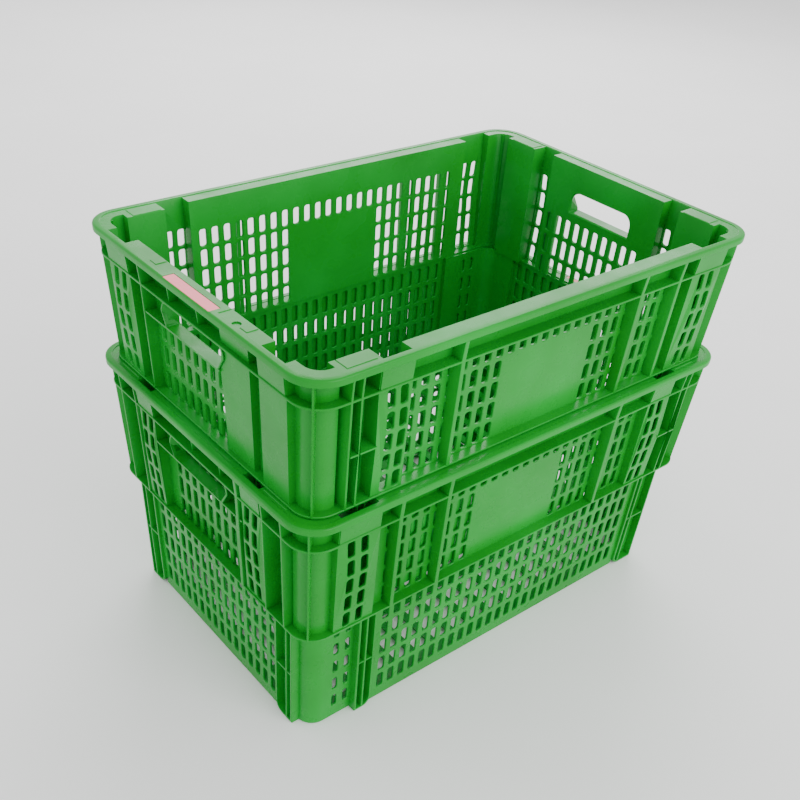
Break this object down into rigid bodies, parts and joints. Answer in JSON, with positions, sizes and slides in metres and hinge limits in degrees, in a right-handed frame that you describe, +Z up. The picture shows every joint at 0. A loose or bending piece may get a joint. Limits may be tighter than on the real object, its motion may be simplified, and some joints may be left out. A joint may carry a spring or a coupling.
{
  "type": "stacking crate",
  "caption": "Nested vented storage crates with ribbed slotted walls, stepped corner legs, hand holes and a label plate let into each rim.",
  "frame": {"origin": "on the ground, in the middle of the footprint of the nested crates", "axes": "+X along the long side, away from the upper crate's label end; +Y along the short side; +Z up"},
  "size_m": [0.6, 0.4, 0.453],
  "materials": {
    "crate_green": "satin moulded polyolefin",
    "label_pink": "plain printed card under film"
  },
  "bodies": {
    "lower_crate": {"lower_back_mesh": "crate_green", "lower_back_wall": "crate_green", "lower_floor": "crate_green", "lower_front_mesh": "crate_green", "lower_front_wall": "crate_green", "lower_label_back_corner": "crate_green", "lower_label_back_leg": "crate_green", "lower_label_end_mesh": "crate_green", "lower_label_end_wall": "crate_green", "lower_label_front_corner": "crate_green", "lower_label_front_leg": "crate_green", "lower_label_plate": "label_pink", "lower_plain_back_corner": "crate_green", "lower_plain_back_leg": "crate_green", "lower_plain_end_mesh": "crate_green", "lower_plain_end_wall": "crate_green", "lower_plain_front_corner": "crate_green", "lower_plain_front_leg": "crate_green"},
    "upper_crate": {"upper_back_mesh": "crate_green", "upper_back_wall": "crate_green", "upper_floor": "crate_green", "upper_front_mesh": "crate_green", "upper_front_wall": "crate_green", "upper_label_back_corner": "crate_green", "upper_label_back_leg": "crate_green", "upper_label_end_mesh": "crate_green", "upper_label_end_wall": "crate_green", "upper_label_front_corner": "crate_green", "upper_label_front_leg": "crate_green", "upper_label_plate": "label_pink", "upper_plain_back_corner": "crate_green", "upper_plain_back_leg": "crate_green", "upper_plain_end_mesh": "crate_green", "upper_plain_end_wall": "crate_green", "upper_plain_front_corner": "crate_green", "upper_plain_front_leg": "crate_green"}
  },
  "joints": [
    {"name": "lift_off", "type": "slide", "parent": "lower_crate", "child": "upper_crate", "axis": [0, 0, 1], "range_m": [0, 0.3]}
  ]
}
